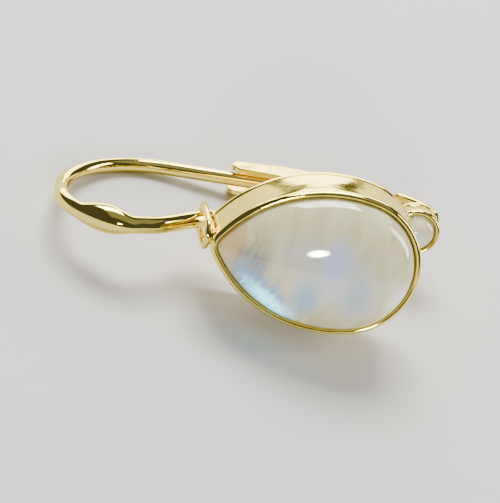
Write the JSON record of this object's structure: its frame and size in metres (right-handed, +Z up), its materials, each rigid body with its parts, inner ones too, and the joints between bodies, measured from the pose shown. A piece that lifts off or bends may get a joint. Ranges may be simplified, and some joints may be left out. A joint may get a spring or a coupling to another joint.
{
  "type": "leverback drop earring",
  "caption": "Leverback drop earring: pear moonstone cabochon in a deep plain gold setting, hung on a gold ear wire with a small round moonstone at its foot",
  "frame": {"origin": "bottom centre of the bounding box, on the surface that the earring lies on", "axes": "+X towards the foot and the hinge, with the ear wire's arch at -X. +Z up. The stones face -Y and a little up; the lever is at +Y"},
  "size_m": [0.0252, 0.0162, 0.0101],
  "materials": {
    "polished gold": "mirror-polished yellow gold",
    "moonstone": "polished, milky and translucent with a pale blue sheen"
  },
  "bodies": {
    "frame": {"ear_wire": "polished gold", "hinge_pin": "polished gold", "small_stone": "moonstone", "drop_bezel": "polished gold", "drop_stone": "moonstone"},
    "lever": {"lever": "polished gold"}
  },
  "joints": [
    {"name": "lever_hinge", "type": "hinge", "parent": "frame", "child": "lever", "pos_m": [0.00884, 0.00633, 0.00234], "axis": [0.1158, -0.3039, -0.9457], "range_deg": [0, 50]}
  ]
}
